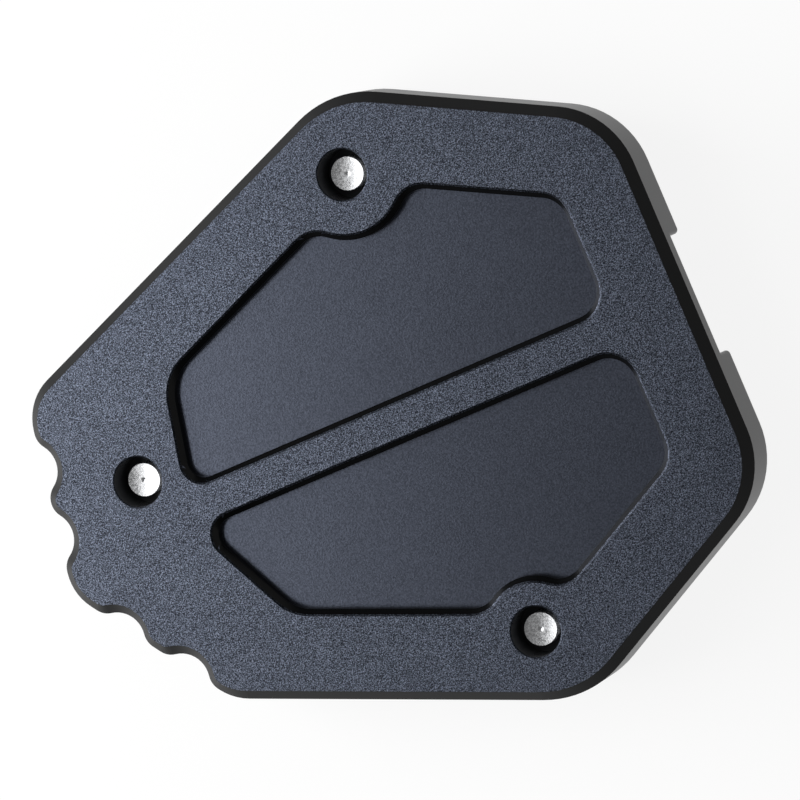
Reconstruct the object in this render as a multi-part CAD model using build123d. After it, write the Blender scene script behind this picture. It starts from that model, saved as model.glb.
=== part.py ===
from build123d import *
import os

# Kickstand foot enlarger: a thick plate with a bevelled sole, a clamp plate and three screws.
# Millimetres. X runs along the stand's leg, towards the leg notch, and Z points out of the sole.
# The plate lies sole up, on its clamp plate. The origin is under the middle of its bounding box.

# Outline of the base block, whose corners are given before they are rounded
FRONT_X = 51.2
FRONT_HALF_WIDTH = 28.2
SHOULDER_X = 14.65
SHOULDER_HALF_WIDTH = 47.35
FRONT_RADIUS = 13.0
SHOULDER_RADIUS = 15.0
REAR_UPPER_CORNER = (-46.5, 23.9)
REAR_TIP = (-51.65, -4.7)
REAR_LOWER_CORNER = (-35.0, -27.7)
REAR_UPPER_RADIUS = 8.0
REAR_TIP_RADIUS = 7.6
REAR_LOWER_RADIUS = 8.5

# Thickness, and the bevel around the sole
BASE_THICKNESS = 10.5
BEVEL_WIDTH = 1.45
BEVEL_DEPTH = 1.85

# Scallops bitten out of the two rear edges
SCALLOP_RADIUS = 4.1
SCALLOP_CUSP_RADIUS = 2.95
SCALLOP_CENTRES = [(-41.1, -22.6), (-47.85, -13.45), (-51.9, 4.15), (-50.1, 14.3)]

# Two shallow pockets in the sole, with a rib between them
POCKET_DEPTH = 2.2
POCKET_BEVEL_WIDTH = 0.8
POCKET_BEVEL_DEPTH = 1.02
POCKET_FRONT_X = 40.4
POCKET_FRONT_HALF_WIDTH = 20.35
RIB_HALF_WIDTH = 2.3
POCKET_FRONT_RADIUS = 5.0
RIB_REAR_RADIUS = 3.5
POCKET_REAR_RADIUS = 7.5
UPPER_POCKET_SHOULDER = (13.5, 34.2)
UPPER_POCKET_REAR = (-25.2, 19.15)
UPPER_RIB_REAR_X = -28.95
UPPER_BOSS_RADIUS = 8.45
LOWER_POCKET_SHOULDER = (14.2, -33.85)
LOWER_POCKET_REAR = (-21.3, -19.9)
LOWER_RIB_REAR_X = -30.25
LOWER_BOSS_RADIUS = 7.0
BOSS_BLEND_RADIUS = 4.8
RIM_BREAK = 0.18

# Screw holes, each a wide well in the sole over a tapped hole
UPPER_SCREW = (11.7, 35.3)
LOWER_SCREW = (11.7, -35.3)
REAR_SCREW = (-34.8, 6.6)
WELL_RADIUS = 3.68
WELL_DEPTH = 6.0
WELL_BREAK_WIDTH = 0.2
WELL_BREAK_DEPTH = 0.08

# Recess for the stand's own foot, and the notch that its leg leaves by
RECESS_DEPTH = 5.75
RECESS_REAR_X = -28.0
RECESS_FRONT_X = 36.0
RECESS_HALF_WIDTH = 23.0
RECESS_RADIUS = 12.0
NOTCH_HALF_WIDTH = 9.0
NOTCH_CORNER_RADIUS = 0.65
EDGE_BREAK = 0.2

# Clamp plate, with a slot for the leg
CLAMP_THICKNESS = 4.5
CLAMP_INSET = 3.0
CLAMP_BEVEL = 1.0
SLOT_HALF_WIDTH = 10.0
SLOT_REAR_X = -4.0
SLOT_MOUTH_RADIUS = 5.0
CLEARANCE_RADIUS = 2.75

# Countersunk M5 screws with a hexagon socket
THREAD_RADIUS = 2.5
SCREW_LENGTH = 12.0
HEAD_RADIUS = 5.0
HEAD_RIM = 0.3
HEAD_SINK = 0.3
SOCKET_ACROSS_FLATS = 3.0
SOCKET_DEPTH = 2.2
TIP_CHAMFER = 0.25
DIMPLE_RADIUS = 0.45
DIMPLE_DEPTH = 0.25

# Levels
SOLE_Z = CLAMP_THICKNESS + BASE_THICKNESS
POCKET_FLOOR_Z = SOLE_Z - POCKET_DEPTH
WELL_FLOOR_Z = SOLE_Z - WELL_DEPTH
HEAD_CONE_Z = HEAD_SINK + HEAD_RIM
NECK_Z = HEAD_CONE_Z + HEAD_RADIUS - THREAD_RADIUS
TIP_Z = HEAD_SINK + SCREW_LENGTH

# How far a cutting shape stands out of the face that it cuts
MARGIN = 1.0

SCREWS = {"upper": UPPER_SCREW, "lower": LOWER_SCREW, "rear": REAR_SCREW}


def rounded_polygon(corners, radii):
    return make_face(FilletPolyline(*corners, radius=radii, close=True))


def plain_outline():
    corners = [
        REAR_UPPER_CORNER,
        (SHOULDER_X, SHOULDER_HALF_WIDTH),
        (FRONT_X, FRONT_HALF_WIDTH),
        (FRONT_X, -FRONT_HALF_WIDTH),
        (SHOULDER_X, -SHOULDER_HALF_WIDTH),
        REAR_LOWER_CORNER,
        REAR_TIP,
    ]
    radii = [
        REAR_UPPER_RADIUS,
        SHOULDER_RADIUS,
        FRONT_RADIUS,
        FRONT_RADIUS,
        SHOULDER_RADIUS,
        REAR_LOWER_RADIUS,
        REAR_TIP_RADIUS,
    ]
    return rounded_polygon(corners, radii)


def scalloped_outline():
    """The base block's outline. Stepping in and out again rounds the cusps beside the scallops."""
    outline = plain_outline()
    for centre in SCALLOP_CENTRES:
        outline -= Pos(*centre) * Circle(SCALLOP_RADIUS)
    return offset(offset(outline, -SCALLOP_CUSP_RADIUS), SCALLOP_CUSP_RADIUS)


def step_round_boss(rim, centre, radius):
    """Keep a round boss out of a pocket's rim, and blend the two cusps that it leaves."""
    bitten = rim - Pos(*centre) * Circle(radius)
    boss_edge = bitten.edges().filter_by(GeomType.CIRCLE).sort_by_distance(centre)[0]
    return fillet(boss_edge.vertices(), BOSS_BLEND_RADIUS)


def upper_pocket_rim():
    corners = [
        UPPER_POCKET_REAR,
        UPPER_POCKET_SHOULDER,
        (POCKET_FRONT_X, POCKET_FRONT_HALF_WIDTH),
        (POCKET_FRONT_X, RIB_HALF_WIDTH),
        (UPPER_RIB_REAR_X, RIB_HALF_WIDTH),
    ]
    radii = [POCKET_REAR_RADIUS, 0, POCKET_FRONT_RADIUS, POCKET_FRONT_RADIUS, RIB_REAR_RADIUS]
    return step_round_boss(rounded_polygon(corners, radii), UPPER_SCREW, UPPER_BOSS_RADIUS)


def lower_pocket_rim():
    corners = [
        (LOWER_RIB_REAR_X, -RIB_HALF_WIDTH),
        (POCKET_FRONT_X, -RIB_HALF_WIDTH),
        (POCKET_FRONT_X, -POCKET_FRONT_HALF_WIDTH),
        LOWER_POCKET_SHOULDER,
        LOWER_POCKET_REAR,
    ]
    radii = [RIB_REAR_RADIUS, POCKET_FRONT_RADIUS, POCKET_FRONT_RADIUS, 0, POCKET_REAR_RADIUS]
    return step_round_boss(rounded_polygon(corners, radii), LOWER_SCREW, LOWER_BOSS_RADIUS)


def top_face(solid):
    return solid.faces().filter_by(Axis.Z).sort_by(Axis.Z)[-1]


def bottom_face(solid):
    return solid.faces().filter_by(Axis.Z).sort_by(Axis.Z)[0]


def pocket_hollow(rim):
    """What is milled out of the sole for one pocket, before its rim is bevelled."""
    floor = offset(rim, -RIM_BREAK - POCKET_BEVEL_WIDTH)
    return Pos(0, 0, POCKET_FLOOR_Z) * extrude(floor, POCKET_DEPTH + MARGIN)


def foot_recess():
    """The hollow for the stand's foot, with the notch that leads out through the front edge."""
    length = RECESS_FRONT_X - RECESS_REAR_X
    middle_x = (RECESS_FRONT_X + RECESS_REAR_X) / 2
    foot = Pos(middle_x, 0) * RectangleRounded(length, 2 * RECESS_HALF_WIDTH, RECESS_RADIUS)
    notch_length = FRONT_X + MARGIN - middle_x
    notch = Pos(middle_x + notch_length / 2, 0) * Rectangle(notch_length, 2 * NOTCH_HALF_WIDTH)
    return Pos(0, 0, CLAMP_THICKNESS - MARGIN) * extrude(foot + notch, RECESS_DEPTH + MARGIN)


def screw_hole(x, y):
    well = Pos(x, y, WELL_FLOOR_Z) * extrude(Circle(WELL_RADIUS), WELL_DEPTH + MARGIN)
    return well + Pos(x, y) * extrude(Circle(THREAD_RADIUS), SOLE_Z)


def notch_corners(block):
    """The two upright edges where the notch leaves through the front edge."""
    upright = block.edges().filter_by(Axis.Z).group_by(Axis.X)[-1]
    return upright.sort_by(lambda edge: abs(edge.center().Y))[:2]


def base_block():
    block = Pos(0, 0, CLAMP_THICKNESS) * extrude(scalloped_outline(), BASE_THICKNESS)
    sole = top_face(block)
    block = chamfer(sole.edges(), BEVEL_WIDTH, BEVEL_DEPTH, reference=sole)
    for rim in (upper_pocket_rim(), lower_pocket_rim()):
        block -= pocket_hollow(rim)
    sole = top_face(block)
    pocket_rims = sole.inner_wires().edges()
    block = chamfer(pocket_rims, POCKET_BEVEL_WIDTH, POCKET_BEVEL_DEPTH, reference=sole)
    block = chamfer(top_face(block).inner_wires().edges(), RIM_BREAK)
    for x, y in SCREWS.values():
        block -= screw_hole(x, y)
    sole = top_face(block)
    well_rims = [edge for edge in sole.inner_wires().edges() if edge.is_closed]
    block = chamfer(well_rims, WELL_BREAK_WIDTH, WELL_BREAK_DEPTH, reference=sole)
    block -= foot_recess()
    block = fillet(notch_corners(block), NOTCH_CORNER_RADIUS)
    return chamfer(bottom_face(block).outer_wire().edges(), EDGE_BREAK)


def leg_slot():
    """The slot in the clamp plate, round at its inner end and open to the front."""
    round_x = SLOT_REAR_X + SLOT_HALF_WIDTH
    length = FRONT_X - round_x
    run = Pos(round_x + length / 2, 0) * Rectangle(length, 2 * SLOT_HALF_WIDTH)
    return Pos(round_x, 0) * Circle(SLOT_HALF_WIDTH) + run


def countersink(x, y):
    """A cone that the head bears on, down to the clearance hole."""
    cone_radius = HEAD_RADIUS + HEAD_CONE_Z
    cone = Cone(
        cone_radius,
        CLEARANCE_RADIUS,
        cone_radius - CLEARANCE_RADIUS,
        align=(Align.CENTER, Align.CENTER, Align.MIN),
    )
    return Pos(x, y) * (cone + extrude(Circle(CLEARANCE_RADIUS), CLAMP_THICKNESS))


def clamp_plate():
    outline = offset(plain_outline(), -CLAMP_INSET) - leg_slot()
    front = outline.vertices().group_by(Axis.X)[-1]
    mouth = front.sort_by(lambda vertex: abs(vertex.Y))[:2]
    plate = extrude(fillet(mouth, SLOT_MOUTH_RADIUS), CLAMP_THICKNESS)
    plate = chamfer(bottom_face(plate).edges(), CLAMP_BEVEL)
    for x, y in SCREWS.values():
        plate -= countersink(x, y)
    return chamfer(top_face(plate).outer_wire().edges(), EDGE_BREAK)


def screw_profile():
    """Half of the screw's lengthwise section, from the middle of its head to the middle of its tip."""
    points = [
        (0, HEAD_SINK),
        (HEAD_RADIUS, HEAD_SINK),
        (HEAD_RADIUS, HEAD_CONE_Z),
        (THREAD_RADIUS, NECK_Z),
        (THREAD_RADIUS, TIP_Z - TIP_CHAMFER),
        (THREAD_RADIUS - TIP_CHAMFER, TIP_Z),
        (DIMPLE_RADIUS, TIP_Z),
        (0, TIP_Z - DIMPLE_DEPTH),
    ]
    return Plane.XZ * make_face(Polyline(*points, close=True))


def clamp_screw(x, y):
    socket = extrude(RegularPolygon(SOCKET_ACROSS_FLATS / 2, 6, major_radius=False), SOCKET_DEPTH)
    screw = revolve(screw_profile(), Axis.Z) - Pos(0, 0, HEAD_SINK) * socket
    return Pos(x, y) * screw


if __name__ == "__main__":
    os.makedirs("parts", exist_ok=True)
    export_step(base_block(), "parts/base_block.step")
    export_step(clamp_plate(), "parts/clamp_plate.step")
    for place, centre in SCREWS.items():
        export_step(clamp_screw(*centre), f"parts/clamp_screw_{place}.step")
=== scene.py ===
"""Looks of a kickstand foot enlarger: its finishes, its threaded screws and its studio."""

import math

import bpy
from bpy.props import FloatProperty, FloatVectorProperty, IntProperty, PointerProperty
from mathutils import Matrix, Vector


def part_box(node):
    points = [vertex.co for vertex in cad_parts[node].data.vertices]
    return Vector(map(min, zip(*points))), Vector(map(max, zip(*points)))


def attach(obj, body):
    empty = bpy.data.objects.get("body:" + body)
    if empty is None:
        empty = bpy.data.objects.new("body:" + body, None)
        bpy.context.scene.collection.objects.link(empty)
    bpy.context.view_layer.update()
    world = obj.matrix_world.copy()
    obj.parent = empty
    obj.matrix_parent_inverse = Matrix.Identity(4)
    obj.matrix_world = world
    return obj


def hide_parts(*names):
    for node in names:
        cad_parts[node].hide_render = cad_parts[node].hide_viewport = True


bl_info = {
    "name": "Kickstand Foot Enlarger",
    "version": (1, 0, 0),
    "blender": (4, 5, 0),
    "location": "3D View > Sidebar > Foot Enlarger",
    "description": "Finishes a kickstand foot enlarger and sets it on a studio floor",
    "category": "Object",
}

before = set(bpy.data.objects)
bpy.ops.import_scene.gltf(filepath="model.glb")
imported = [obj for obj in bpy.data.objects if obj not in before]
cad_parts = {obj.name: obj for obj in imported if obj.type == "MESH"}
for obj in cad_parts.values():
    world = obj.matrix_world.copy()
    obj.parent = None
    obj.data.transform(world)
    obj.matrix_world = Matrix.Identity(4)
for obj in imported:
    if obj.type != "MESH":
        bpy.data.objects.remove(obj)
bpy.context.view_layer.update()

MM = 0.001
SCREW_NODES = ("clamp_screw_upper", "clamp_screw_lower", "clamp_screw_rear")


class BlackFinish(bpy.types.PropertyGroup):
    """The black anodised finish of the base block and the clamp plate."""

    sole_color: FloatVectorProperty(
        name="Sole Colour",
        description="Reflected colour of the coarsely blasted sole",
        subtype="COLOR",
        min=0.0,
        max=1.0,
        default=(0.081, 0.092, 0.120),
    )
    pocket_color: FloatVectorProperty(
        name="Pocket Colour",
        description="Reflected colour of the finely blasted pocket floors",
        subtype="COLOR",
        min=0.0,
        max=1.0,
        default=(0.083, 0.093, 0.122),
    )
    edge_color: FloatVectorProperty(
        name="Edge Colour",
        description="Colour of the smooth cut walls and bevels",
        subtype="COLOR",
        min=0.0,
        max=1.0,
        default=(0.0035, 0.0037, 0.004),
    )
    # Painted light: the bored walls are lifted from black to paint in the light bounced and reflected
    # inside the wells
    well_painted_light_color: FloatVectorProperty(
        name="Well Colour",
        description="Colour of the bored walls of the screw wells",
        subtype="COLOR",
        min=0.0,
        max=1.0,
        default=(0.085, 0.088, 0.095),
    )
    grain_size: FloatProperty(
        name="Grain Size",
        description="Width of one blasted grain",
        unit="LENGTH",
        precision=5,
        min=0.02 * MM,
        max=2.0 * MM,
        default=0.17 * MM,
    )
    grain_depth: FloatProperty(
        name="Grain Depth",
        description="Depth of the blasted grain on the sole",
        unit="LENGTH",
        precision=6,
        min=0.0,
        max=0.2 * MM,
        default=0.05 * MM,
    )
    speckle: FloatProperty(
        name="Speckle",
        description="How much the sole's grains differ in colour",
        subtype="FACTOR",
        min=0.0,
        max=1.0,
        default=1.0,
    )
    sole_roughness: FloatProperty(
        name="Sole Roughness",
        description="Roughness of the sole",
        subtype="FACTOR",
        min=0.0,
        max=1.0,
        default=0.29,
    )
    pocket_roughness: FloatProperty(
        name="Pocket Roughness",
        description="Roughness of the pocket floors",
        subtype="FACTOR",
        min=0.0,
        max=1.0,
        default=0.28,
    )
    bevel_roughness: FloatProperty(
        name="Bevel Roughness",
        description="Roughness of the smooth cut bevels",
        subtype="FACTOR",
        min=0.0,
        max=1.0,
        default=0.16,
    )
    wall_roughness: FloatProperty(
        name="Wall Roughness",
        description="Roughness of the walls around the outside and in the pockets and recess",
        subtype="FACTOR",
        min=0.0,
        max=1.0,
        default=0.3,
    )
    well_roughness: FloatProperty(
        name="Well Roughness",
        description="Roughness of the bored walls of the screw wells",
        subtype="FACTOR",
        min=0.0,
        max=1.0,
        default=0.14,
    )


class ScrewFinish(bpy.types.PropertyGroup):
    """The threads and the bright plating of the clamp screws."""

    pitch: FloatProperty(
        name="Thread Pitch",
        description="Distance from one thread crest to the next",
        unit="LENGTH",
        precision=5,
        min=0.2 * MM,
        max=3.0 * MM,
        default=0.8 * MM,
    )
    thread_depth: FloatProperty(
        name="Thread Depth",
        description="Depth of the thread from crest to root",
        unit="LENGTH",
        precision=5,
        min=0.0,
        max=1.5 * MM,
        default=0.43 * MM,
    )
    segments: IntProperty(
        name="Segments",
        description="Columns of faces around a screw, a multiple of twelve for the socket's corners",
        min=24,
        max=192,
        step=12,
        default=72,
    )
    steel_color: FloatVectorProperty(
        name="Steel Colour",
        description="Reflected colour of the bright plating",
        subtype="COLOR",
        min=0.0,
        max=1.0,
        default=(0.9, 0.91, 0.93),
    )
    steel_roughness: FloatProperty(
        name="Steel Roughness",
        description="Roughness of the bright plating",
        subtype="FACTOR",
        min=0.0,
        max=1.0,
        default=0.24,
    )


class StudioStage(bpy.types.PropertyGroup):
    """The floor, the lamps and the surroundings."""

    floor_color: FloatVectorProperty(
        name="Floor Colour",
        description="Colour of the pale floor",
        subtype="COLOR",
        min=0.0,
        max=1.0,
        default=(0.93, 0.93, 0.93),
    )
    floor_glow: FloatProperty(
        name="Floor Glow",
        description="How far the floor is seen as plain white. At 1 it shows no shadow",
        subtype="FACTOR",
        min=0.0,
        max=1.0,
        default=0.88,
    )
    floor_size: FloatProperty(
        name="Floor Size",
        description="Length of the floor's side",
        unit="LENGTH",
        min=0.5,
        max=20.0,
        default=4.0,
    )
    overhead: FloatVectorProperty(
        name="Overhead",
        description="Colour of the room straight above",
        subtype="COLOR",
        min=0.0,
        max=1.0,
        default=(0.17, 0.17, 0.17),
    )
    horizon: FloatVectorProperty(
        name="Horizon",
        description="Colour of the room at the height of the floor",
        subtype="COLOR",
        min=0.0,
        max=1.0,
        default=(1.0, 1.0, 1.0),
    )
    side_power: FloatProperty(
        name="Side Lamp Power",
        description="Power of the low lamp beside the object",
        unit="POWER",
        min=0.0,
        max=100.0,
        default=2.0,
    )
    top_power: FloatProperty(
        name="Top Lamp Power",
        description="Power of the softbox over the object",
        unit="POWER",
        min=0.0,
        max=100.0,
        default=2.1,
    )


class ShaderGraph:
    """A node tree that starts empty, with short ways to add nodes and join them."""

    def __init__(self, tree):
        self.tree = tree
        self.tree.nodes.clear()

    def node(self, kind, **settings):
        made = self.tree.nodes.new(kind)
        for key, value in settings.items():
            setattr(made, key, value)
        return made

    def feed(self, socket, value):
        """Join a node's output to a socket, or set the socket to a plain value."""
        if isinstance(value, bpy.types.NodeSocket):
            self.tree.links.new(value, socket)
        else:
            socket.default_value = value

    def math(self, operation, first, second=0.0):
        made = self.node("ShaderNodeMath", operation=operation)
        self.feed(made.inputs[0], first)
        self.feed(made.inputs[1], second)
        return made.outputs[0]

    def both(self, first, second):
        return self.math("MULTIPLY", first, second)

    def vector(self, operation, first, second):
        made = self.node("ShaderNodeVectorMath", operation=operation)
        self.feed(made.inputs[0], first)
        self.feed(made.inputs[1], second)
        return made.outputs["Vector"]

    def distance(self, first, second):
        made = self.node("ShaderNodeVectorMath", operation="DISTANCE")
        self.feed(made.inputs[0], first)
        self.feed(made.inputs[1], second)
        return made.outputs["Value"]

    def scaled(self, color, factor):
        made = self.node("ShaderNodeVectorMath", operation="SCALE")
        self.feed(made.inputs[0], color)
        self.feed(made.inputs["Scale"], factor)
        return made.outputs["Vector"]

    def upright_part(self, direction):
        made = self.node("ShaderNodeSeparateXYZ")
        self.feed(made.inputs[0], direction)
        return made.outputs["Z"]

    def mix_value(self, factor, low, high):
        made = self.node("ShaderNodeMix", data_type="FLOAT")
        self.feed(made.inputs["Factor"], factor)
        self.feed(made.inputs[2], low)
        self.feed(made.inputs[3], high)
        return made.outputs[0]

    def spread(self, factor, middle, reach):
        """From middle - reach, where the factor is 0, to middle + reach, where it is 1."""
        return self.mix_value(factor, middle - reach, middle + reach)

    def mix_color(self, factor, low, high):
        made = self.node("ShaderNodeMix", data_type="RGBA")
        self.feed(made.inputs["Factor"], factor)
        self.feed(made.inputs[6], low)
        self.feed(made.inputs[7], high)
        return made.outputs[2]

    def contrast(self, value, levels):
        """The value spread out so that the levels, a dark and a light one, become 0 and 1."""
        made = self.node("ShaderNodeMapRange")
        self.feed(made.inputs["Value"], value)
        self.feed(made.inputs["From Min"], levels[0])
        self.feed(made.inputs["From Max"], levels[1])
        return made.outputs[0]

    def place(self):
        return self.node("ShaderNodeTexCoord").outputs["Object"]

    def noise(self, size, detail=2.0, roughness=0.5, seed=0.0):
        """Noise whose patches are about size wide. The seed moves it, so that two noises differ."""
        made = self.node("ShaderNodeTexNoise", noise_dimensions="3D")
        self.feed(made.inputs["Vector"], self.vector("ADD", self.place(), (seed, seed, seed)))
        self.feed(made.inputs["Scale"], 1.0 / size)
        self.feed(made.inputs["Detail"], detail)
        self.feed(made.inputs["Roughness"], roughness)
        return made.outputs["Fac"]

    def bump(self, relief, depth):
        """The surface's normal, with a relief from 0 to 1 that is depth deep."""
        made = self.node("ShaderNodeBump")
        self.feed(made.inputs["Height"], relief)
        self.feed(made.inputs["Distance"], depth)
        self.feed(made.inputs["Strength"], 1.0)
        return made.outputs[0]

    def shader(self, kind, values):
        """A shader, with its sockets set or joined by name."""
        made = self.node(kind)
        for socket, value in values.items():
            self.feed(made.inputs[socket], value)
        return made.outputs[0]

    def mix_shader(self, factor, first, second):
        made = self.node("ShaderNodeMixShader")
        self.feed(made.inputs[0], factor)
        self.feed(made.inputs[1], first)
        self.feed(made.inputs[2], second)
        return made.outputs[0]

    def show(self, kind, shader):
        """End the tree with an output of that kind."""
        self.feed(self.node(kind).inputs["Surface"], shader)


def rgba(color):
    return (*color, 1.0)


def new_material(name):
    """A new material, and the graph of its nodes."""
    material = bpy.data.materials.new(name)
    material.use_nodes = True
    return material, ShaderGraph(material.node_tree)


def dress(piece, material):
    piece.data.materials.clear()
    piece.data.materials.append(material)


# What tells the black surfaces apart: their levels below the sole, how far they face up, and
# their distance from a screw's axis
SOLE_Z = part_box("base_block")[1].z
RIM_BREAK = 0.25 * MM
BELOW_POCKETS = 3.0 * MM
LEVEL_FACING = 0.65
BEVEL_FACING = 0.5
RIM_FACING = 0.97
WELL_REACH = 3.9 * MM

# The sole's grain: the noise's dark and light levels, and how far its grains are from the colour
COARSE_LEVELS = (0.3, 0.7)
COARSE_DARKER = 0.9
COARSE_LIGHTER = 2.3

# The fine grain of other level faces, its size and depth as shares of the sole's
FINE_SIZE = 1.4
FINE_DEPTH = 0.3
FINE_LEVELS = (0.32, 0.68)
FINE_SPECKLE = 0.26

# Broad clouds over the grain, painted shade on the sole's broken edges and the gloss of cut faces
CLOUD_SIZE = 9.0 * MM
CLOUD_SPECKLE = 0.06
# Painted shade: the broken edges' colour is darkened to dim the lamps' highlight on them
RIM_PAINTED_SHADE = 0.32
CUT_SPECULAR = 0.09


def screw_axes():
    corners = [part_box(node) for node in SCREW_NODES]
    return [((low.x + high.x) / 2, (low.y + high.y) / 2) for low, high in corners]


def near_screws(graph):
    """1 within reach of a screw's axis, and 0 elsewhere."""
    flat = graph.vector("MULTIPLY", graph.place(), (1.0, 1.0, 0.0))
    nearest = 1.0
    for x, y in screw_axes():
        nearest = graph.math("MINIMUM", nearest, graph.distance(flat, (x, y, 0.0)))
    return graph.math("LESS_THAN", nearest, WELL_REACH)


def black_faces(graph):
    """For each kind of black face a value that is 1 on those faces and 0 elsewhere."""
    height = graph.upright_part(graph.place())
    facing = graph.upright_part(graph.node("ShaderNodeNewGeometry").outputs["True Normal"])
    upward = graph.math("GREATER_THAN", facing, LEVEL_FACING)
    flatness = graph.math("ABSOLUTE", facing)
    level = graph.math("GREATER_THAN", flatness, LEVEL_FACING)
    sole = graph.both(upward, graph.math("GREATER_THAN", height, SOLE_Z - RIM_BREAK))
    deep = graph.both(upward, graph.math("LESS_THAN", height, SOLE_Z - BELOW_POCKETS))
    fine = graph.both(level, graph.math("SUBTRACT", 1.0, graph.math("MAXIMUM", sole, deep)))
    return {
        "sole": sole,
        "rim": graph.both(sole, graph.math("LESS_THAN", facing, RIM_FACING)),
        "fine": fine,
        "grained": graph.math("MAXIMUM", sole, fine),
        "bevel": graph.math("GREATER_THAN", flatness, BEVEL_FACING),
        "well": near_screws(graph),
    }


def grained_color(graph, finish, faces, coarse, silky):
    """The colour of the blasted faces, speckled grain by grain."""
    fleck = graph.contrast(coarse, COARSE_LEVELS)
    darkest = 1.0 - COARSE_DARKER * finish.speckle
    lightest = 1.0 + COARSE_LIGHTER * finish.speckle
    coarse_speckle = graph.mix_value(graph.both(fleck, fleck), darkest, lightest)
    fine_speckle = graph.spread(graph.contrast(silky, FINE_LEVELS), 1.0, FINE_SPECKLE)
    speckle = graph.mix_value(faces["sole"], fine_speckle, coarse_speckle)
    cloud = graph.spread(graph.noise(CLOUD_SIZE, seed=3.7), 1.0, CLOUD_SPECKLE)
    # Painted shade: the sole's broken edges are darkened in colour to dim the highlight they catch
    rim_painted_shade = graph.mix_value(faces["rim"], 1.0, RIM_PAINTED_SHADE)
    plain = graph.mix_color(faces["sole"], rgba(finish.pocket_color), rgba(finish.sole_color))
    return graph.scaled(plain, graph.both(graph.both(speckle, cloud), rim_painted_shade))


def black_roughness(graph, finish, faces):
    grained = graph.mix_value(faces["sole"], finish.pocket_roughness, finish.sole_roughness)
    wall = graph.mix_value(faces["well"], finish.wall_roughness, finish.well_roughness)
    cut = graph.mix_value(faces["bevel"], wall, finish.bevel_roughness)
    return graph.mix_value(faces["grained"], cut, grained)


def blasted_finish(name, finish):
    """Black anodising: coarse grain on the sole, fine grain on other level faces, smooth cut edges; the
    screw wells' walls lightened as painted light.
    """
    material, graph = new_material(name)
    faces = black_faces(graph)
    coarse = graph.noise(finish.grain_size, roughness=0.6)
    silky = graph.noise(finish.grain_size * FINE_SIZE, seed=5.1)
    coarse_relief = graph.both(faces["sole"], coarse)
    fine_relief = graph.both(faces["fine"], graph.both(silky, FINE_DEPTH))
    relief = graph.math("ADD", coarse_relief, fine_relief)
    # The wells' walls get a lighter colour, painted light standing in for the light bounced and
    # reflected inside them
    cut_and_well_light_color = graph.mix_color(faces["well"], rgba(finish.edge_color), rgba(finish.well_painted_light_color))
    blasted_color = grained_color(graph, finish, faces, coarse, silky)
    surface = {
        "Base Color": graph.mix_color(faces["grained"], cut_and_well_light_color, blasted_color),
        "Metallic": faces["grained"],
        "Specular IOR Level": CUT_SPECULAR,
        "Roughness": black_roughness(graph, finish, faces),
        "Normal": graph.bump(relief, finish.grain_depth),
    }
    graph.show("ShaderNodeOutputMaterial", graph.shader("ShaderNodeBsdfPrincipled", surface))
    return material


# The plating's mottling: the size and depth of its flecks, the noise's dark and light levels, the
# share of the colour that is left in the dark, and how far the roughness differs
MOTTLE_SIZE = 0.32 * MM
MOTTLE_DEPTH = 0.012 * MM
MOTTLE_LEVELS = (0.3, 0.7)
MOTTLE_DARKEST = 0.6
MOTTLE_ROUGHNESS = 0.08


def steel_finish(finish):
    """Bright plating, mottled by tumbling."""
    material, graph = new_material("bright_plated_steel")
    fleck = graph.noise(MOTTLE_SIZE, detail=3.0, roughness=0.65, seed=1.3)
    mottle = graph.contrast(fleck, MOTTLE_LEVELS)
    dark = Vector(finish.steel_color) * MOTTLE_DARKEST
    surface = {
        "Base Color": graph.mix_color(mottle, rgba(dark), rgba(finish.steel_color)),
        "Metallic": 1.0,
        "Roughness": graph.spread(mottle, finish.steel_roughness, MOTTLE_ROUGHNESS),
        "Normal": graph.bump(fleck, MOTTLE_DEPTH),
    }
    graph.show("ShaderNodeOutputMaterial", graph.shader("ShaderNodeBsdfPrincipled", surface))
    return material


# Sizes of a countersunk screw that its node doesn't give, from the head to the tip
SOCKET_HALF_WIDTH = 1.5 * MM
SOCKET_DEPTH = 2.2 * MM
SOCKET_FLOOR_INSET = 0.35 * MM
HEAD_RIM = 0.3 * MM
SOFT_EDGE = 0.12 * MM
SHANK_RADIUS = 2.5 * MM
TIP_PLAIN = 0.4 * MM
TIP_RADIUS = 2.49 * MM
TIP_CHAMFER = 0.09 * MM
TIP_DISH = 0.13 * MM
DIMPLE_RADIUS = 0.28 * MM
DIMPLE_DEPTH = 0.1 * MM

# The thread's form, in shares of the half pitch from crest to root: the flat crest and the slope
CREST_SHARE = 0.125
SLOPE_SHARE = 0.6

# How finely the screw is meshed, and the angle from which an edge is sharp
ROWS_PER_PITCH = 12
DISH_STEPS = 10
SHARP_ANGLE = math.radians(35)


def hexagon_radius(angle):
    """How far a hexagon of the socket's width reaches in one direction."""
    sector = math.radians(60)
    return SOCKET_HALF_WIDTH / math.cos((angle + sector / 2) % sector - sector / 2)


def thread_dip(z, angle, pitch):
    """How deep the thread is cut at a point, from 0 on the crest to 1 at the root."""
    phase = (z / pitch - angle / math.tau) % 1.0
    from_crest = abs(phase - 0.5) * 2
    return min(1.0, max(0.0, (from_crest - CREST_SHARE) / SLOPE_SHARE))


def plain_ring(radius, z):
    return lambda angle: (radius, z)


def hexagon_ring(growth, z):
    return lambda angle: (hexagon_radius(angle) + growth, z)


def thread_ring(z, neck_z, tip_z, finish):
    """A ring of the threaded shank. The thread fades in at the neck and out below the tip's chamfer."""
    chamfer_z = tip_z - TIP_CHAMFER
    start = min(1.0, (z - neck_z) / finish.pitch)
    end = min(1.0, max(0.0, (chamfer_z - z) / TIP_PLAIN))
    limit = TIP_RADIUS - max(0.0, z - chamfer_z)

    def place(angle):
        cut = finish.thread_depth * start * end * thread_dip(z, angle, finish.pitch)
        return min(limit, SHANK_RADIUS - cut), z

    return place


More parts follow.
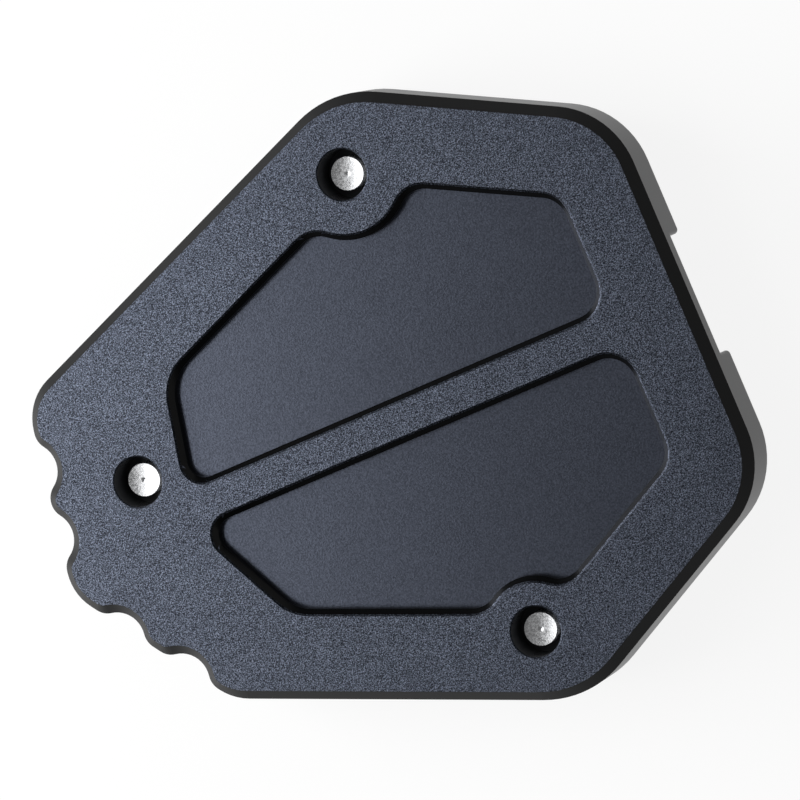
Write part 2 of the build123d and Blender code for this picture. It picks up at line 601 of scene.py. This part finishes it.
def head_rings(head_z, head_radius):
    """From the socket's floor down its walls, and over the head's rounded edge up to its cone."""
    socket_z = head_z + SOCKET_DEPTH
    rounding = SOFT_EDGE / 3
    return [
        hexagon_ring(-SOCKET_FLOOR_INSET, socket_z),
        hexagon_ring(0.0, socket_z - SOFT_EDGE),
        hexagon_ring(0.0, head_z + SOFT_EDGE),
        hexagon_ring(SOFT_EDGE, head_z),
        plain_ring(head_radius - SOFT_EDGE, head_z),
        plain_ring(head_radius - rounding, head_z + rounding),
        plain_ring(head_radius, head_z + SOFT_EDGE),
        plain_ring(head_radius, head_z + HEAD_RIM),
    ]


def shank_rings(neck_z, tip_z, finish):
    rows = round((tip_z - neck_z) / finish.pitch * ROWS_PER_PITCH)
    levels = [neck_z + (tip_z - neck_z) * row / rows for row in range(rows + 1)]
    return [thread_ring(z, neck_z, tip_z, finish) for z in levels]


def tip_rings(tip_z):
    """The slightly dished end of the shank, with a dimple like a shallow bowl in its middle."""
    face_radius = TIP_RADIUS - TIP_CHAMFER
    rings = []
    for step in range(1, DISH_STEPS + 1):
        radius = face_radius + (DIMPLE_RADIUS - face_radius) * step / DISH_STEPS
        rings.append(plain_ring(radius, tip_z - TIP_DISH * (1 - (radius / face_radius) ** 2)))
    halfway = 1 / 2
    bowl_z = tip_z - TIP_DISH - DIMPLE_DEPTH * (1 - halfway ** 2)
    rings.append(plain_ring(DIMPLE_RADIUS * halfway, bowl_z))
    return rings


def turned_mesh(name, rings, first_z, last_z, segments):
    """A closed mesh of rings, each a function from an angle to a radius and a height."""
    verts = [(0.0, 0.0, first_z)]
    for ring in rings:
        for column in range(segments):
            angle = math.tau * column / segments
            radius, z = ring(angle)
            verts.append((radius * math.cos(angle), radius * math.sin(angle), z))
    verts.append((0.0, 0.0, last_z))
    last_ring = 1 + (len(rings) - 1) * segments
    faces = []
    for column in range(segments):
        after = (column + 1) % segments
        faces.append((0, 1 + after, 1 + column))
        for low in range(1, last_ring, segments):
            high = low + segments
            faces.append((low + column, low + after, high + after, high + column))
        faces.append((last_ring + column, last_ring + after, len(verts) - 1))
    mesh = bpy.data.meshes.new(name)
    mesh.from_pydata(verts, [], faces)
    mesh.polygons.foreach_set("use_smooth", [True] * len(faces))
    mesh.set_sharp_from_angle(angle=SHARP_ANGLE)
    return mesh


def clamp_screw(node, finish):
    """A threaded countersunk screw in the place of a plain one, its head down."""
    low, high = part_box(node)
    head_radius = (high.x - low.x) / 2
    neck_z = low.z + HEAD_RIM + head_radius - SHANK_RADIUS
    rings = head_rings(low.z, head_radius)
    rings += shank_rings(neck_z, high.z, finish)
    rings += tip_rings(high.z)
    dimple_z = high.z - TIP_DISH - DIMPLE_DEPTH
    mesh = turned_mesh(node + "_threaded", rings, low.z + SOCKET_DEPTH, dimple_z, finish.segments)
    mesh.transform(Matrix.Translation(((low.x + high.x) / 2, (low.y + high.y) / 2, 0.0)))
    screw = bpy.data.objects.new(node + "_threaded", mesh)
    bpy.context.scene.collection.objects.link(screw)
    return screw


# The photograph's view: the point looked at, the way to the camera and the camera's right
TARGET = Vector((6.0, 2.6, 13.15)) * MM
CAMERA_SIDE = Vector((0.29215, -0.01151, 0.95630))
CAMERA_RIGHT = Vector((0.87908, -0.39058, -0.27326))
CAMERA_DISTANCE = 730.4 * MM
CAMERA_NEAREST = 10.0 * MM
SENSOR_MM = 36.0
LENS_MM = 230.1

# Both lamps stand on the photograph's left, one low beside the object and one over it, in metres
LAMP_SIDE = Vector((-0.914, 0.406, 0.0)).normalized()
ALONG_LAMPS = Vector((0.406, 0.914, 0.0)).normalized()
UPWARD = Vector((0.0, 0.0, 1.0))
SIDE_LAMP = {"out": 0.36, "up": 0.20, "width": 0.40, "height": 0.16}
TOP_LAMP = {"out": 0.43, "up": 0.60, "width": 0.80, "height": 0.40}

# A hair's breadth under the object, so that the floor and the object's lowest face stay apart
FLOOR_GAP = 0.05 * MM

# How fast the room darkens from the horizon upwards
HAZE_POWER = 4.0

WHITE = (1.0, 1.0, 1.0)


def floor_material(stage):
    """White to the eye and in reflections, darker where the object shades it, and clear from below."""
    material, graph = new_material("pale_floor")
    plain = graph.shader("ShaderNodeBsdfDiffuse", {"Color": rgba(stage.floor_color)})
    white = graph.shader("ShaderNodeEmission", {"Color": rgba(WHITE), "Strength": 1.0})
    clear = graph.shader("ShaderNodeBsdfTransparent", {"Color": rgba(WHITE)})
    rays = graph.node("ShaderNodeLightPath").outputs
    seen = graph.math("MAXIMUM", rays["Is Camera Ray"], rays["Is Glossy Ray"])
    seen = graph.math("MAXIMUM", seen, rays["Is Transmission Ray"])
    top = graph.mix_shader(graph.both(seen, stage.floor_glow), plain, white)
    from_below = graph.node("ShaderNodeNewGeometry").outputs["Backfacing"]
    graph.show("ShaderNodeOutputMaterial", graph.mix_shader(from_below, top, clear))
    return material


def floor(stage):
    half = stage.floor_size / 2
    mesh = bpy.data.meshes.new("studio_floor")
    corners = [(-half, -half, 0), (half, -half, 0), (half, half, 0), (-half, half, 0)]
    mesh.from_pydata(corners, [], [(0, 1, 2, 3)])
    mesh.transform(Matrix.Translation((0, 0, -FLOOR_GAP)))
    piece = bpy.data.objects.new("studio_floor", mesh)
    bpy.context.scene.collection.objects.link(piece)
    dress(piece, floor_material(stage))


def surroundings(stage):
    """A room that is pale at the horizon and darker overhead."""
    world = bpy.data.worlds.new("studio")
    world.use_nodes = True
    graph = ShaderGraph(world.node_tree)
    upright = graph.upright_part(graph.node("ShaderNodeTexCoord").outputs["Generated"])
    steepness = graph.math("ABSOLUTE", upright)
    haze = graph.math("POWER", graph.math("SUBTRACT", 1.0, steepness), HAZE_POWER)
    room_color = graph.mix_color(haze, rgba(stage.overhead), rgba(stage.horizon))
    room = graph.shader("ShaderNodeBackground", {"Color": room_color, "Strength": 1.0})
    graph.show("ShaderNodeOutputWorld", room)
    bpy.context.scene.world = world


def posed(place, right, up, back):
    """The matrix of a camera or lamp at a place, looking the other way from back."""
    return Matrix.Translation(place) @ Matrix((right, up, back)).transposed().to_4x4()


def lamp(name, sizes, power, level):
    """A lamp that faces the object, or straight down where it is level."""
    data = bpy.data.lights.new(name, "AREA")
    data.shape = "RECTANGLE"
    data.size = sizes["width"]
    data.size_y = sizes["height"]
    data.energy = power
    made = bpy.data.objects.new(name, data)
    from_target = LAMP_SIDE * sizes["out"] + UPWARD * sizes["up"]
    back = UPWARD if level else from_target.normalized()
    made.matrix_world = posed(TARGET + from_target, ALONG_LAMPS, back.cross(ALONG_LAMPS), back)
    made.visible_camera = False
    bpy.context.scene.collection.objects.link(made)


def lamps(stage):
    lamp("side_lamp", SIDE_LAMP, stage.side_power, level=False)
    lamp("top_lamp", TOP_LAMP, stage.top_power, level=True)


def camera():
    data = bpy.data.cameras.new("camera")
    data.sensor_width = SENSOR_MM
    data.lens = LENS_MM
    data.clip_start = CAMERA_NEAREST
    made = bpy.data.objects.new("camera", data)
    back = CAMERA_SIDE.normalized()
    up = back.cross(CAMERA_RIGHT).normalized()
    made.matrix_world = posed(TARGET + back * CAMERA_DISTANCE, up.cross(back), up, back)
    bpy.context.scene.collection.objects.link(made)
    bpy.context.scene.camera = made


class FOOTENLARGER_OT_base_block(bpy.types.Operator):
    """Give the base block its blasted and smooth black surfaces"""

    bl_idname = "foot_enlarger.base_block"
    bl_label = "Finish Base Block"

    def execute(self, context):
        finish = context.scene.foot_enlarger_black
        dress(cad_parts["base_block"], blasted_finish("blasted_black_sole", finish))
        return {"FINISHED"}


class FOOTENLARGER_OT_clamp_plate(bpy.types.Operator):
    """Give the clamp plate its finely blasted black surface"""

    bl_idname = "foot_enlarger.clamp_plate"
    bl_label = "Finish Clamp Plate"

    def execute(self, context):
        finish = context.scene.foot_enlarger_black
        dress(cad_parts["clamp_plate"], blasted_finish("blasted_black_plate", finish))
        return {"FINISHED"}


class FOOTENLARGER_OT_clamp_screws(bpy.types.Operator):
    """Make the three clamp screws, with their threads, sockets and dimpled tips"""

    bl_idname = "foot_enlarger.clamp_screws"
    bl_label = "Make Clamp Screws"

    def execute(self, context):
        finish = context.scene.foot_enlarger_screw
        steel = steel_finish(finish)
        for node in SCREW_NODES:
            screw = clamp_screw(node, finish)
            dress(screw, steel)
            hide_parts(node)
            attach(screw, "root")
        return {"FINISHED"}


class FOOTENLARGER_OT_stage(bpy.types.Operator):
    """Set the floor, the lamps, the surroundings and the camera"""

    bl_idname = "foot_enlarger.stage"
    bl_label = "Set Stage"

    def execute(self, context):
        stage = context.scene.foot_enlarger_stage
        floor(stage)
        surroundings(stage)
        lamps(stage)
        camera()
        context.scene.view_settings.view_transform = "Standard"
        return {"FINISHED"}


class FOOTENLARGER_PT_panel(bpy.types.Panel):
    """Lists the steps that finish the foot enlarger, and their settings"""

    bl_label = "Foot Enlarger"
    bl_space_type = "VIEW_3D"
    bl_region_type = "UI"
    bl_category = "Foot Enlarger"

    def draw(self, context):
        groups = (
            ("foot_enlarger_black", ("base_block", "clamp_plate")),
            ("foot_enlarger_screw", ("clamp_screws",)),
            ("foot_enlarger_stage", ("stage",)),
        )
        for settings_name, steps in groups:
            box = self.layout.box()
            settings = getattr(context.scene, settings_name)
            for key in settings.__annotations__:
                box.prop(settings, key)
            for step in steps:
                box.operator("foot_enlarger." + step)


CLASSES = (
    BlackFinish,
    ScrewFinish,
    StudioStage,
    FOOTENLARGER_OT_base_block,
    FOOTENLARGER_OT_clamp_plate,
    FOOTENLARGER_OT_clamp_screws,
    FOOTENLARGER_OT_stage,
    FOOTENLARGER_PT_panel,
)


def register():
    for cls in CLASSES:
        bpy.utils.register_class(cls)
    bpy.types.Scene.foot_enlarger_black = PointerProperty(type=BlackFinish)
    bpy.types.Scene.foot_enlarger_screw = PointerProperty(type=ScrewFinish)
    bpy.types.Scene.foot_enlarger_stage = PointerProperty(type=StudioStage)


def unregister():
    del bpy.types.Scene.foot_enlarger_stage
    del bpy.types.Scene.foot_enlarger_screw
    del bpy.types.Scene.foot_enlarger_black
    for cls in reversed(CLASSES):
        bpy.utils.unregister_class(cls)


def main():
    register()
    bpy.ops.foot_enlarger.base_block()
    bpy.ops.foot_enlarger.clamp_plate()
    bpy.ops.foot_enlarger.clamp_screws()
    bpy.ops.foot_enlarger.stage()


if __name__ == "__main__":
    main()
